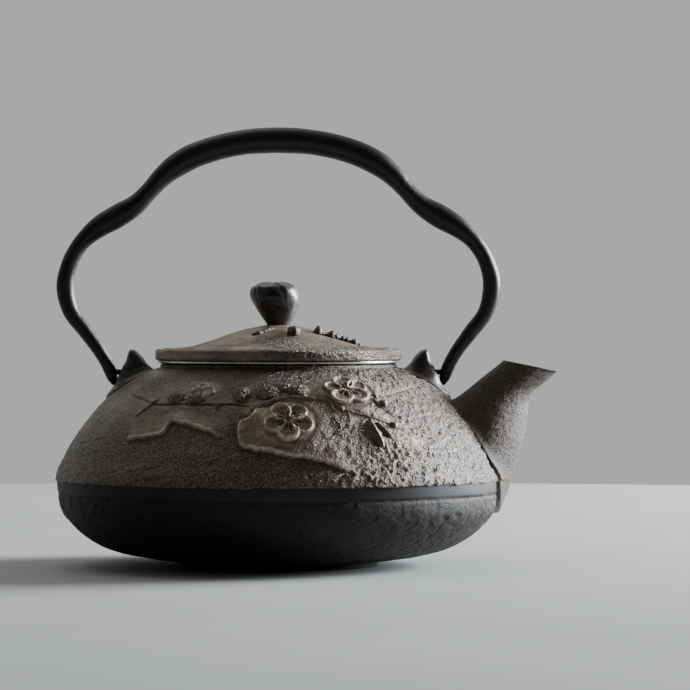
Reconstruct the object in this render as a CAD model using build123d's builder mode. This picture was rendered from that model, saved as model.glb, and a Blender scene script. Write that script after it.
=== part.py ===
# Cast-iron side-spout teapot with a lift-out steel tea strainer, a lid and a swinging
# bail handle.  Sizes are in millimetres.  +Z is up and +X points out of the spout.
# The origin is the middle of the flat foot, on the surface that the pot stands on.

import math
import os

from build123d import *

# ---- driving dimensions ----------------------------------------------------------

WALL = 3.2  # cast wall of the pot
GLAZE = 0.3  # enamel on the inside of the pot
FIT_GAP = 0.05  # flat faces that rest on each other but belong to different pieces

FOOT_R = 32.0
FOOT_TOP_Z = 1.6
BAND_TOP_Z = 27.6  # where the plain bowl meets the decorated upper shell
BAND_R = 70.7
SHELL_LIP_R = 71.2  # the shell stands a little proud of the band

NECK_R = 37.8
NECK_ROOT_Z = 63.4
MOUTH_R = 33.0
MOUTH_TOP_Z = 64.5
MOUTH_DEPTH = 10.0  # deeper than the neck, so that the mouth opens into the belly

LID_R = 39.4
LID_UNDER_Z = 65.65
LID_RIM_TOP_Z = 69.2
LID_DOME_R = 29.0  # where the flat outer ring turns up into the dome
LID_TOP_Z = 76.8
LID_WALL = 2.7
LID_GUIDE_OUTER_R = 30.2  # ring under the lid that drops inside the strainer
LID_GUIDE_INNER_R = 27.8
LID_GUIDE_LOW_Z = 61.6

STUD_R = 1.6
STUD_HOLE_R = 1.8
STUD_TOP_Z = 82.5
WASHER_R = 4.6
WASHER_H = 0.8
STUD_HEAD_R = 3.0
STUD_HEAD_H = 1.8

STRAINER_FLANGE_R = 38.7
STRAINER_FLANGE_H = 0.9
STRAINER_SLEEVE_OUTER_R = 31.9
STRAINER_SLEEVE_INNER_R = 31.3
STRAINER_SLEEVE_LOW_Z = 57.0
STRAINER_SHEET = 0.5  # fine perforated sheet
STRAINER_WALL_R = 31.2  # outside of the sheet
STRAINER_LOW_Z = 29.0
WELD_CLEAR = 0.02  # keeps the welded ring's face off the sheet's face
STRAINER_FLOOR_Z = 30.0
BASE_RING_R = 31.8
BASE_RING_H = 2.6

HINGE_Z = 61.8  # the handle swings about a line along X at this height
JOURNAL_R = 1.5
LUG_HOLE_R = 1.9
LUG_HOLE_START_X = 41.5
JOURNAL_END_X = 43.2

os.makedirs("parts", exist_ok=True)


def save(part, label):
    """Label a finished piece and write it as its own STEP file."""
    part.label = label
    export_step(part, f"parts/{label}.step")


def inset(curve, depth, start, end, steps):
    """Points at a depth inside a profile that runs outwards and then up to the neck."""
    points = []
    for step in range(steps + 1):
        place = start + (end - start) * step / steps
        along = curve.tangent_at(place)
        inward = Vector(-along.Z, 0, along.X)
        points.append(curve.position_at(place) + inward * depth)
    return points


# ---- profiles of the pot ---------------------------------------------------------

# (radius, height) points, from the foot outwards and up to the neck
BOWL_POINTS = [
    (FOOT_R, FOOT_TOP_Z),
    (45.0, 3.3),
    (56.2, 6.4),
    (64.6, 12.0),
    (69.4, 18.3),
    (BAND_R, BAND_TOP_Z),
]
SHELL_POINTS = [
    (SHELL_LIP_R, BAND_TOP_Z),
    (69.0, 34.0),
    (63.6, 43.1),
    (56.2, 52.2),
    (49.8, 57.7),
    (NECK_R, NECK_ROOT_Z),
]
BOWL_TANGENTS = [(5, 1), (0, 1)]
SHELL_TANGENTS = [(0, 1), (-2.3, 1)]

# start and end share of each curve that the inside of the wall follows, and its steps
BOWL_INSIDE = (0.06, 0.9, 6)
SHELL_INSIDE = (0.12, 0.97, 7)
FLOOR_CORNER = 8.0  # the inside floor turns up into the wall over this width


def profile_curve(points, tangents):
    """A spline through (radius, height) points, standing in the XZ plane."""
    return Spline([(r, 0, z) for r, z in points], tangents=[(r, 0, z) for r, z in tangents])


bowl_curve = profile_curve(BOWL_POINTS, BOWL_TANGENTS)
shell_curve = profile_curve(SHELL_POINTS, SHELL_TANGENTS)


def cavity_sketch(depth):
    """Half section of the hollow that is left at a depth inside the outer skin."""
    points = inset(bowl_curve, depth, *BOWL_INSIDE) + inset(shell_curve, depth, *SHELL_INSIDE)
    floor_z = FOOT_TOP_Z + depth
    floor_r = points[0].X - FLOOR_CORNER
    ledge_z = points[-1].Z
    with BuildSketch(Plane.YZ) as sketch:
        with BuildLine():
            rise = Spline([(p.X, p.Z) for p in points])
            Line((0, floor_z), (floor_r, floor_z))
            Line((floor_r, floor_z), rise @ 0)
            Line(rise @ 1, (MOUTH_R, ledge_z))
            Line((MOUTH_R, ledge_z), (0, ledge_z))
            Line((0, ledge_z), (0, floor_z))
        make_face()
    return sketch.sketch


# ---- spout -----------------------------------------------------------------------

# height: (back edge, front edge, half width) of each level section
SPOUT_SECTIONS = {
    17.0: (50.0, 69.0, 13.0),
    32.0: (50.0, 75.9, 17.0),
    48.0: (50.6, 79.6, 13.6),
    57.0: (61.5, 83.4, 10.0),
    62.0: (67.7, 88.9, 8.4),
    67.0: (73.8, 90.6, 7.4),
}
SPOUT_BACK_INSET = 4.0  # measured level; the back wall leans, so it is about 2.5 thick
SPOUT_FRONT_INSET = 2.6
SPOUT_SIDE_INSET = 2.4
CHANNEL_LOW_Z = 32.0
MOUTH_BACK = (72.1, 0, 65.6)
MOUTH_SLOPE = 0.21


def level_section(height, back, front, half_width):
    """One level ellipse of the spout or of its channel."""
    middle = (back + front) / 2
    with BuildSketch(Plane.XY.offset(height)) as section:
        with Locations((middle, 0)):
            Ellipse((front - back) / 2, half_width)
    return section.sketch


mouth_plane = Plane(origin=MOUTH_BACK, z_dir=(MOUTH_SLOPE, 0, 1))

with BuildPart() as spout_form:
    for height, (back, front, half_width) in SPOUT_SECTIONS.items():
        add(level_section(height, back, front, half_width))
    loft()
    split(bisect_by=mouth_plane, keep=Keep.BOTTOM)

with BuildPart() as spout_channel:
    for height, (back, front, half_width) in SPOUT_SECTIONS.items():
        if height >= CHANNEL_LOW_Z:
            channel_back = back + SPOUT_BACK_INSET
            channel_front = front - SPOUT_FRONT_INSET
            add(level_section(height, channel_back, channel_front, half_width - SPOUT_SIDE_INSET))
    loft()

# ---- lugs ------------------------------------------------------------------------

LUG_SIDE_POINTS = [
    (41.3, 62.6),
    (43.2, 66.1),
    (44.9, 68.4),
    (46.5, 69.0),
    (47.6, 68.2),
    (48.5, 65.4),
    (49.3, 62.2),
    (52.4, 56.8),
]
LUG_BASE_Z = 55.0
LUG_HALF_WIDTH = 6.6
LUG_TOP_Z = 69.1
LUG_END_POINTS = [
    (-LUG_HALF_WIDTH, LUG_BASE_Z),
    (-5.7, 61.0),
    (-4.2, 65.4),
    (0, LUG_TOP_Z),
    (4.2, 65.4),
    (5.7, 61.0),
    (LUG_HALF_WIDTH, LUG_BASE_Z),
]
LUG_REACH = 60.0  # further out than the lug
LUG_MOUTH_X = (48.8, 53.0)  # the hole flares towards the outside
LUG_MOUTH_R = (2.3, 5.0)
LUG_BEVEL = 0.4  # between the straight hole and the flare

lug_inner_x = LUG_SIDE_POINTS[0][0]
lug_outer_x = LUG_SIDE_POINTS[-1][0]

with BuildPart() as lug:
    with BuildSketch(Plane.XZ) as side_view:
        with BuildLine():
            flank = Spline(LUG_SIDE_POINTS)
            Line(flank @ 1, (lug_outer_x, LUG_BASE_Z))
            Line((lug_outer_x, LUG_BASE_Z), (lug_inner_x, LUG_BASE_Z))
            Line((lug_inner_x, LUG_BASE_Z), flank @ 0)
        make_face()
    extrude(amount=LUG_HALF_WIDTH, both=True)
    with BuildSketch(Plane.YZ) as end_view:
        with BuildLine():
            hood = Spline(LUG_END_POINTS)
            Line(hood @ 1, hood @ 0)
        make_face()
    extrude(amount=LUG_REACH, mode=Mode.INTERSECT)

with BuildPart() as lug_hole:
    with BuildSketch(Plane.XZ) as hole_section:
        with BuildLine():
            Polyline(
                (LUG_HOLE_START_X, HINGE_Z),
                (LUG_HOLE_START_X, HINGE_Z + LUG_HOLE_R),
                (LUG_MOUTH_X[0] - LUG_BEVEL, HINGE_Z + LUG_HOLE_R),
                (LUG_MOUTH_X[0], HINGE_Z + LUG_MOUTH_R[0]),
                (LUG_MOUTH_X[1], HINGE_Z + LUG_MOUTH_R[1]),
                (LUG_MOUTH_X[1], HINGE_Z),
                close=True,
            )
        make_face()
    revolve(axis=Axis((0, 0, HINGE_Z), (1, 0, 0)))

# ---- pot body: bowl, shell, spout and lugs in one casting --------------------------

with BuildPart() as pot_body:
    with BuildSketch(Plane.YZ) as outline:
        with BuildLine():
            Line((0, 0), (FOOT_R, 0))
            Line((FOOT_R, 0), (FOOT_R, FOOT_TOP_Z))
            Spline(BOWL_POINTS, tangents=BOWL_TANGENTS)
            Line((BAND_R, BAND_TOP_Z), (SHELL_LIP_R, BAND_TOP_Z))
            Spline(SHELL_POINTS, tangents=SHELL_TANGENTS)
            Line((NECK_R, NECK_ROOT_Z), (NECK_R, MOUTH_TOP_Z))
            Line((NECK_R, MOUTH_TOP_Z), (0, MOUTH_TOP_Z))
            Line((0, MOUTH_TOP_Z), (0, 0))
        make_face()
    revolve(axis=Axis.Z)
    add(spout_form.part)
    add(lug.part)
    add(lug.part.mirror(Plane.YZ))
    add(cavity_sketch(WALL))
    revolve(axis=Axis.Z, mode=Mode.SUBTRACT)
    with BuildSketch(Plane.XY.offset(MOUTH_TOP_Z)):
        Circle(MOUTH_R)
    extrude(amount=-MOUTH_DEPTH, mode=Mode.SUBTRACT)
    add(spout_channel.part, mode=Mode.SUBTRACT)
    add(lug_hole.part, mode=Mode.SUBTRACT)
    add(lug_hole.part.mirror(Plane.YZ), mode=Mode.SUBTRACT)
save(pot_body.part, "pot_body")

# ---- enamel lining: a fused glass coat on the inside of the belly ------------------

LINING_CLEAR = 0.02  # keeps the two curved skins from crossing

with BuildPart() as enamel_lining:
    add(cavity_sketch(WALL + LINING_CLEAR))
    revolve(axis=Axis.Z)
    add(cavity_sketch(WALL + LINING_CLEAR + GLAZE))
    revolve(axis=Axis.Z, mode=Mode.SUBTRACT)
    with BuildSketch(Plane.XY.offset(MOUTH_TOP_Z)):
        Circle(MOUTH_R)
    extrude(amount=-MOUTH_DEPTH, mode=Mode.SUBTRACT)
    add(spout_channel.part, mode=Mode.SUBTRACT)
save(enamel_lining.part, "enamel_lining")

# ---- lid ---------------------------------------------------------------------------

DOME_FOOT = (LID_DOME_R, LID_RIM_TOP_Z + 0.2)
DOME_MIDDLE = (18.3, 73.0)
DOME_TANGENTS = [(1, -0.15), (1, -0.2)]
HOLLOW_MIDDLE = (DOME_MIDDLE[0], DOME_MIDDLE[1] - LID_WALL)
HOLLOW_TANGENTS = [(-1, 0.2), (-1, 0.15)]
HOLLOW_LOW_Z = LID_UNDER_Z + 1.0
KNOB_SEAT_R = 4.2
WASHER_TOP_Z = LID_TOP_Z - LID_WALL
WASHER_SEAT_R = WASHER_R + 0.6
EDGE_TOP = (LID_R - 1.0, LID_RIM_TOP_Z)
EDGE_MIDDLE = (LID_R, (LID_RIM_TOP_Z + LID_UNDER_Z) / 2)
EDGE_LOW = (LID_R - 0.8, LID_UNDER_Z)

with BuildPart() as lid:
    with BuildSketch(Plane.YZ) as lid_section:
        with BuildLine():
            Line((0, LID_TOP_Z), (KNOB_SEAT_R, LID_TOP_Z))
            Spline((KNOB_SEAT_R, LID_TOP_Z), DOME_MIDDLE, DOME_FOOT, tangents=DOME_TANGENTS)
            Line(DOME_FOOT, EDGE_TOP)
            ThreePointArc(EDGE_TOP, EDGE_MIDDLE, EDGE_LOW)
            Line(EDGE_LOW, (LID_GUIDE_OUTER_R, LID_UNDER_Z))
            Line((LID_GUIDE_OUTER_R, LID_UNDER_Z), (LID_GUIDE_OUTER_R, LID_GUIDE_LOW_Z))
            Line((LID_GUIDE_OUTER_R, LID_GUIDE_LOW_Z), (LID_GUIDE_INNER_R, LID_GUIDE_LOW_Z))
            Line((LID_GUIDE_INNER_R, LID_GUIDE_LOW_Z), (LID_GUIDE_INNER_R, HOLLOW_LOW_Z))
            Spline(
                (LID_GUIDE_INNER_R, HOLLOW_LOW_Z),
                HOLLOW_MIDDLE,
                (WASHER_SEAT_R, WASHER_TOP_Z),
                tangents=HOLLOW_TANGENTS,
            )
            Line((WASHER_SEAT_R, WASHER_TOP_Z), (0, WASHER_TOP_Z))
            Line((0, WASHER_TOP_Z), (0, LID_TOP_Z))
        make_face()
    revolve(axis=Axis.Z)
    with BuildSketch(Plane.XY.offset(LID_TOP_Z)):
        Circle(STUD_HOLE_R)
    extrude(amount=-LID_WALL, mode=Mode.SUBTRACT)
save(lid.part, "lid")

# ---- knob: a plum bud on a short neck, held by a stud through the lid ----------------

KNOB_BASE_R = 3.6
KNOB_R = 7.6
KNOB_TOP_Z = 90.3
KNOB_POINTS = [
    (KNOB_BASE_R, LID_TOP_Z),
    (5.6, 80.8),
    (KNOB_R, 86.2),
    (5.4, 89.6),
    (0, KNOB_TOP_Z),
]
KNOB_TANGENTS = [(0.3, 1), (-1, 0)]

with BuildPart() as lid_knob:
    with BuildSketch(Plane.YZ) as knob_section:
        with BuildLine():
            Line((0, LID_TOP_Z), (KNOB_BASE_R, LID_TOP_Z))
            Spline(KNOB_POINTS, tangents=KNOB_TANGENTS)
            Line((0, KNOB_TOP_Z), (0, LID_TOP_Z))
        make_face()
    revolve(axis=Axis.Z)
    with BuildSketch(Plane.XY.offset(LID_TOP_Z)):
        Circle(STUD_R)
    extrude(amount=STUD_TOP_Z - LID_TOP_Z, mode=Mode.SUBTRACT)
save(lid_knob.part, "lid_knob")

with BuildPart() as knob_washer:
    with BuildSketch(Plane.XY.offset(WASHER_TOP_Z - WASHER_H)):
        Circle(WASHER_R)
        Circle(STUD_HOLE_R, mode=Mode.SUBTRACT)
    extrude(amount=WASHER_H)
save(knob_washer.part, "knob_washer")

stud_seat_z = WASHER_TOP_Z - WASHER_H
head_low_z = stud_seat_z - STUD_HEAD_H
head_dome_r = (STUD_HEAD_R**2 + STUD_HEAD_H**2) / (2 * STUD_HEAD_H)
head_drop = math.sqrt(head_dome_r**2 - (STUD_HEAD_R / 2) ** 2)

with BuildPart() as knob_stud:
    with BuildSketch(Plane.YZ):
        with BuildLine():
            Line((0, STUD_TOP_Z), (STUD_R, STUD_TOP_Z))
            Line((STUD_R, STUD_TOP_Z), (STUD_R, stud_seat_z))
            Line((STUD_R, stud_seat_z), (STUD_HEAD_R, stud_seat_z))
            ThreePointArc(
                (STUD_HEAD_R, stud_seat_z),
                (STUD_HEAD_R / 2, head_low_z + head_dome_r - head_drop),
                (0, head_low_z),
            )
            Line((0, head_low_z), (0, STUD_TOP_Z))
        make_face()
    revolve(axis=Axis.Z)
save(knob_stud.part, "knob_stud")

# ---- tea strainer: pressed rim, perforated wall, perforated floor and base ring ------

flange_top_z = LID_UNDER_Z - FIT_GAP
flange_low_z = flange_top_z - STRAINER_FLANGE_H

with BuildPart() as infuser_rim:
    with BuildSketch(Plane.XY.offset(flange_low_z)):
        Circle(STRAINER_FLANGE_R)
        Circle(STRAINER_SLEEVE_INNER_R, mode=Mode.SUBTRACT)
    extrude(amount=STRAINER_FLANGE_H)
    with BuildSketch(Plane.XY.offset(STRAINER_SLEEVE_LOW_Z)):
        Circle(STRAINER_SLEEVE_OUTER_R)
        Circle(STRAINER_SLEEVE_INNER_R, mode=Mode.SUBTRACT)
    extrude(amount=flange_low_z - STRAINER_SLEEVE_LOW_Z)
save(infuser_rim.part, "infuser_rim")

SLEEVE_LAP = 3.0  # the wall is spot-welded inside the lower edge of the rim's sleeve

with BuildPart() as infuser_wall:
    with BuildSketch(Plane.XY.offset(STRAINER_FLOOR_Z)):
        Circle(STRAINER_WALL_R)
        Circle(STRAINER_WALL_R - STRAINER_SHEET, mode=Mode.SUBTRACT)
    extrude(amount=STRAINER_SLEEVE_LOW_Z + SLEEVE_LAP - STRAINER_FLOOR_Z)
save(infuser_wall.part, "infuser_wall")

with BuildPart() as infuser_floor:
    with BuildSketch(Plane.XY.offset(STRAINER_FLOOR_Z - STRAINER_SHEET)):
        Circle(STRAINER_WALL_R)
    extrude(amount=STRAINER_SHEET)
save(infuser_floor.part, "infuser_floor")

BASE_RING_LIP_R = 29.4
sheet_low_z = STRAINER_FLOOR_Z - STRAINER_SHEET

with BuildPart() as infuser_base_ring:
    with BuildSketch(Plane.XY.offset(STRAINER_LOW_Z)):
        Circle(BASE_RING_R)
        Circle(BASE_RING_LIP_R, mode=Mode.SUBTRACT)
    extrude(amount=sheet_low_z - STRAINER_LOW_Z)
    with BuildSketch(Plane.XY.offset(sheet_low_z)):
        Circle(BASE_RING_R)
        Circle(STRAINER_WALL_R + WELD_CLEAR, mode=Mode.SUBTRACT)
    extrude(amount=STRAINER_LOW_Z + BASE_RING_H - sheet_low_z)
save(infuser_base_ring.part, "infuser_base_ring")

# ---- handle: a forged bail, thick in the grip and pinched at its two bends -----------

# x, z, thickness in the plane of the arch, width across it
HANDLE_STATIONS = [
    (0.0, 135.9, 8.3, 8.6),
    (12.0, 135.1, 8.1, 8.4),
    (22.5, 132.6, 8.0, 8.2),
    (31.0, 128.9, 7.9, 8.0),
    (36.8, 124.5, 6.7, 7.6),
    (41.2, 119.7, 5.9, 7.2),
    (46.0, 115.0, 6.6, 7.1),
    (51.5, 111.6, 7.6, 7.1),
    (57.2, 108.3, 6.9, 6.8),
    (62.3, 103.9, 5.5, 6.2),
    (66.2, 97.9, 5.2, 5.8),
    (68.2, 89.0, 5.7, 5.6),
    (66.6, 81.6, 5.2, 5.3),
    (61.5, 74.4, 4.7, 5.0),
    (57.1, 68.4, 4.3, 4.6),
    (54.7, 64.0, 4.0, 4.3),
    (53.4, 60.1, 3.9, 3.9),
]
ROD_END_X, ROD_END_Z, ROD_END_SIZE, _ = HANDLE_STATIONS[-1]
END_BALL_EXTRA = 0.1  # the elbow is a little fuller than the rod
ROD_LEAN = 0.1  # the rod's two ends lean inwards by this much for each unit down

far_side = [(-x, z, thickness, width) for x, z, thickness, width in HANDLE_STATIONS[:0:-1]]
all_stations = far_side + HANDLE_STATIONS
handle_line = Spline(
    [(x, 0, z) for x, z, _, _ in all_stations],
    tangents=[(-ROD_LEAN, 0, 1), (-ROD_LEAN, 0, -1)],
)


def rod_section(x, z, thickness, width):
    """Oval section of the bail, square to its centre line."""
    along = handle_line.tangent_at(handle_line.param_at_point(Vector(x, 0, z)))
    station = Plane(origin=(x, 0, z), x_dir=(0, 1, 0), z_dir=along)
    with BuildSketch(station) as section:
        Ellipse(width / 2, thickness / 2)
    return section.sketch


with BuildPart() as rod:
    for x, z, thickness, width in all_stations:
        add(rod_section(x, z, thickness, width))
    loft()

with BuildPart() as handle:
    add(rod.part)
    for side in (-1, 1):
        with Locations((side * ROD_END_X, 0, ROD_END_Z)):
            Sphere(ROD_END_SIZE / 2 + END_BALL_EXTRA)
        with BuildSketch(Plane(origin=(side * ROD_END_X, 0, HINGE_Z), z_dir=(-side, 0, 0))):
            Circle(JOURNAL_R)
        extrude(amount=ROD_END_X - JOURNAL_END_X)
save(handle.part, "handle")
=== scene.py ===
import itertools
import math

import bmesh
import bpy
import numpy as np
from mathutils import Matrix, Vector


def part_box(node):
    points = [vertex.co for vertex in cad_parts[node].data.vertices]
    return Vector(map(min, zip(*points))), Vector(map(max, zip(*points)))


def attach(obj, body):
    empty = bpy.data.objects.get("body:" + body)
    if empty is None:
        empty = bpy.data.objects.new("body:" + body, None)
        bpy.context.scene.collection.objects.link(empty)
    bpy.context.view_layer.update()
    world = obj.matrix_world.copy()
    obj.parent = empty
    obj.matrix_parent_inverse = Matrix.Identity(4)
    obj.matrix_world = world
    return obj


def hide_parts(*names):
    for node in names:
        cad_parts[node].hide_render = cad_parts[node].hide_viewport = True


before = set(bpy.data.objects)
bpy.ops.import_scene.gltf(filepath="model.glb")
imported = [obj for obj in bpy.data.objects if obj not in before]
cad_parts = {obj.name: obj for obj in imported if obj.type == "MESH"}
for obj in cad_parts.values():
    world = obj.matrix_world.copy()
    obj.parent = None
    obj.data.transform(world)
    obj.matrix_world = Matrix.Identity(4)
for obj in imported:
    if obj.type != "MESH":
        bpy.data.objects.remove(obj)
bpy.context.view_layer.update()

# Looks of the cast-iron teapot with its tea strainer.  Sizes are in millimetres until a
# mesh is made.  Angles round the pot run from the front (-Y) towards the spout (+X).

MM = 0.001


def box_mm(node):
    """Lowest and highest corner of a CAD node, in millimetres."""
    low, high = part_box(node)
    return np.array(low) / MM, np.array(high) / MM


# ---- sizes, the first ones taken from the frame ----

_, pot_high = box_mm("pot_body")
lid_low, lid_high = box_mm("lid")
knob_low, _ = box_mm("lid_knob")
rim_low, rim_high = box_mm("infuser_rim")
wall_low, wall_high = box_mm("infuser_wall")
floor_low, floor_high = box_mm("infuser_floor")
ring_low, ring_high = box_mm("infuser_base_ring")

SHELL_LIP_R = pot_high[1]
BAND_R = SHELL_LIP_R - 0.5
BAND_TOP_Z = 27.6
BAND_LOW_Z = 23.8
FOOT_R = 32.0
FOOT_TOP_Z = 1.6
NECK_R = 37.8
MOUTH_R = 33.0
MOUTH_TOP_Z = 64.5
WALL = 3.0
HINGE_Z = 61.8

BOWL_OUTLINE = [
    (FOOT_R, FOOT_TOP_Z), (38.5, 2.3), (45.0, 3.3), (56.2, 6.4), (64.6, 12.0), (69.4, 18.3),
    (BAND_R - 0.2, BAND_LOW_Z), (BAND_R, BAND_TOP_Z),
]
SHELL_OUTLINE = [
    (SHELL_LIP_R, BAND_TOP_Z), (70.6, 30.6), (69.0, 34.0), (63.6, 43.1), (56.2, 52.2), (49.8, 57.7),
    (NECK_R, 63.4),
]


# ---- curves and noise ----


def smooth_path(points, count):
    """Evenly spaced points on a smooth curve through a few given ones."""
    points = np.asarray(points, float)
    chords = np.linalg.norm(np.diff(points, axis=0), axis=1)
    knots = np.concatenate([[0], np.cumsum(chords)])
    slopes = np.gradient(points, knots, axis=0, edge_order=min(2, len(points) - 1))
    fine = np.linspace(0, knots[-1], 10 * count)
    cell = np.clip(np.searchsorted(knots, fine, side="right") - 1, 0, len(knots) - 2)
    span = (knots[cell + 1] - knots[cell])[:, None]
    t = (fine[:, None] - knots[cell][:, None]) / span
    curve = (2 * t**3 - 3 * t**2 + 1) * points[cell] + (t**3 - 2 * t**2 + t) * span * slopes[cell]
    curve += (3 * t**2 - 2 * t**3) * points[cell + 1] + (t**3 - t**2) * span * slopes[cell + 1]
    steps = np.linalg.norm(np.diff(curve, axis=0), axis=1)
    travelled = np.concatenate([[0], np.cumsum(steps)])
    even = np.linspace(0, travelled[-1], count)
    return joined(*[np.interp(even, travelled, axis) for axis in curve.T])


def joined(*axes):
    """Points from their coordinates, each an array or one number."""
    return np.stack(np.broadcast_arrays(*axes), axis=-1)


def full_turn(count):
    """Evenly spaced angles all the way round."""
    return np.linspace(0, math.tau, count, endpoint=False)


def around(radius, angle, height):
    """Points round the Z axis; the angle runs from the front towards the spout."""
    return joined(radius * np.sin(angle), -radius * np.cos(angle), height)


def level_way(angle):
    """Level unit vectors; the angle runs from the spout towards the back."""
    return joined(np.cos(angle), np.sin(angle), 0.0)


def ramp(value, start, end):
    """0 before start, 1 after end, with a soft turn between them."""
    t = np.clip((value - start) / (end - start), 0, 1)
    return t * t * (3 - 2 * t)


def bump(value, middle, width):
    """A bell of height 1."""
    return np.exp(-(((value - middle) / width) ** 2))


def noise(points, size, seed):
    """Smooth noise from about -1 to 1, with lumps of a given size in mm."""
    dice = np.random.default_rng(seed)
    order = np.tile(dice.permutation(256), 2)
    slopes = dice.normal(size=(256, 3))
    slopes /= np.linalg.norm(slopes, axis=1, keepdims=True)
    scaled = np.asarray(points, float) / size
    cell = np.floor(scaled).astype(int)
    inside = scaled - cell
    fade = inside**3 * (inside * (inside * 6 - 15) + 10)
    total = np.zeros(scaled.shape[:-1])
    for corner in itertools.product((0, 1), repeat=3):
        key = (cell + corner) & 255
        pick = order[order[order[key[..., 0]] + key[..., 1]] + key[..., 2]]
        weight = np.prod(np.where(np.array(corner) == 1, fade, 1 - fade), axis=-1)
        total += weight * ((inside - corner) * slopes[pick]).sum(axis=-1)
    return total * 1.7


def layered(points, size, seed, layers=3):
    """Noise with finer and weaker layers on top of each other."""
    total = 0
    for layer in range(layers):
        total = total + noise(points, size / 2**layer, seed + layer) / 2**layer
    return total


# ---- turned surfaces ----


class Turned:
    """A surface turned about Z.  A place on it is an angle and a distance up its outline."""

    def __init__(self, outline):
        self.outline = smooth_path(outline, 500)
        steps = np.linalg.norm(np.diff(self.outline, axis=0), axis=1)
        self.travel = np.concatenate([[0], np.cumsum(steps)])
        self.length = self.travel[-1]
        self.heading = np.gradient(self.outline, self.travel, axis=0)

    def radius(self, along):
        return np.interp(along, self.travel, self.outline[:, 0])

    def height(self, along):
        return np.interp(along, self.travel, self.outline[:, 1])

    def along_at(self, height):
        order = np.argsort(self.outline[:, 1])
        return np.interp(height, self.outline[order, 1], self.travel[order])

    def place(self, angle, along, lift=0.0):
        """Points of the surface, lifted off it by some millimetres."""
        out = np.interp(along, self.travel, self.heading[:, 1])
        up = -np.interp(along, self.travel, self.heading[:, 0])
        return around(self.radius(along) + lift * out, angle, self.height(along) + lift * up)

    def inside(self, start, end, count):
        """(radius, height) points on the inner side of the wall, between two shares of the outline."""
        points = self.place(0.0, np.linspace(self.length * start, self.length * end, count), -WALL)
        return [(float(np.hypot(x, y)), float(z)) for x, y, z in points]

    def line(self, points, count):
        """A smooth line on the surface, from (degrees, height) points."""
        marks = [(math.radians(degrees), float(self.along_at(height))) for degrees, height in points]
        scale = self.radius(marks[0][1])
        flat = smooth_path([(angle * scale, along) for angle, along in marks], count)
        return joined(flat[:, 0] / scale, flat[:, 1])

    def to_line(self, angle, along, line):
        """Distance from places to a line, which side they are on, and the share of it travelled."""
        radius = self.radius(along)
        nearest = (np.full(np.shape(angle), 1e9), 0, 0)
        for index, (start, end) in enumerate(zip(line[:-1], line[1:])):
            across = ((angle - start[0] + math.pi) % math.tau - math.pi) * radius
            up = along - start[1]
            run_across = (end[0] - start[0]) * radius
            run_up = end[1] - start[1]
            t = np.clip((across * run_across + up * run_up) / (run_across**2 + run_up**2), 0, 1)
            off_across = across - t * run_across
            off_up = up - t * run_up
            side = np.sign(run_across * off_up - run_up * off_across)
            found = (np.hypot(off_across, off_up), side, (index + t) / (len(line) - 1))
            nearer = found[0] < nearest[0]
            nearest = [np.where(nearer, new, old) for new, old in zip(found, nearest)]
        return nearest


shell = Turned(SHELL_OUTLINE)
bowl = Turned(BOWL_OUTLINE)


# ---- meshes ----


def ring_faces(rows, columns, loop=False):
    """Quads between rows of points, each row closed on itself."""
    row, column = np.meshgrid(np.arange(rows if loop else rows - 1), np.arange(columns), indexing="ij")
    after = (row + 1) % rows
    beside = (column + 1) % columns
    row, after = row * columns, after * columns
    return joined(row + column, row + beside, after + beside, after + column).reshape(-1, 4).tolist()


def capped(rings):
    """Points and faces of rings joined in a row, with a fan over each end."""
    rows, columns = rings.shape[:2]
    points = np.vstack([rings.reshape(-1, 3), rings[0].mean(axis=0), rings[-1].mean(axis=0)])
    faces = ring_faces(rows, columns)
    for first, centre in ((0, rows * columns), ((rows - 1) * columns, rows * columns + 1)):
        faces += [(first + k, first + (k + 1) % columns, centre) for k in range(columns)]
    return points, faces


def looped(rings):
    """Points and faces of rings joined in a row, and the last one to the first."""
    return rings.reshape(-1, 3), ring_faces(*rings.shape[:2], loop=True)


class Clay:
    """Closed forms gathered into one mesh."""

    def __init__(self):
        self.points = []
        self.faces = []
        self.size = 0

    def add(self, points, faces):
        self.points.append(np.asarray(points))
        self.faces += [tuple(corner + self.size for corner in face) for face in faces]
        self.size += len(points)


def new_mesh(name, points, faces):
    """A mesh in metres, with its faces turned outwards."""
    mesh = bpy.data.meshes.new(name)
    mesh.from_pydata((np.asarray(points) * MM).tolist(), [], faces)
    work = bmesh.new()
    work.from_mesh(mesh)
    bmesh.ops.recalc_face_normals(work, faces=work.faces)
    work.to_mesh(mesh)
    work.free()
    mesh.shade_smooth()
    return mesh


def add_object(name, data):
    """A new object in the scene."""
    thing = bpy.data.objects.new(name, data)
    bpy.context.scene.collection.objects.link(thing)
    return thing


def make_piece(name, points, faces, body, nodes, look, layers=None):
    """A mesh piece that rides on a body and stands for CAD nodes; a look is a slot's name, which is not
    used, and its material.
    """
    slot, material = look
    mesh = new_mesh(name, points, faces)
    for layer, values in (layers or {}).items():
        attribute = mesh.attributes.new(layer, "FLOAT", "POINT")
        attribute.data.foreach_set("value", np.asarray(values, np.float32).ravel())
    mesh.materials.append(material)
    piece = add_object(name, mesh)
    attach(piece, body)
    if nodes:
        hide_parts(*nodes)
    return piece


def make_clay(name, clay, body, nodes, look):
    return make_piece(name, np.vstack(clay.points), clay.faces, body, nodes, look)


def cut(piece, points, faces):
    """Takes a closed form away from a piece."""
    cutter = add_object("cutter", new_mesh("cutter", points, faces))
    modifier = piece.modifiers.new("cut", "BOOLEAN")
    modifier.operation = "DIFFERENCE"
    modifier.solver = "MANIFOLD"
    modifier.object = cutter
    bpy.context.view_layer.update()
    evaluated = piece.evaluated_get(bpy.context.evaluated_depsgraph_get())
    result = bpy.data.meshes.new_from_object(evaluated)
    piece.modifiers.clear()
    piece.data = result
    bpy.data.objects.remove(cutter)


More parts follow.
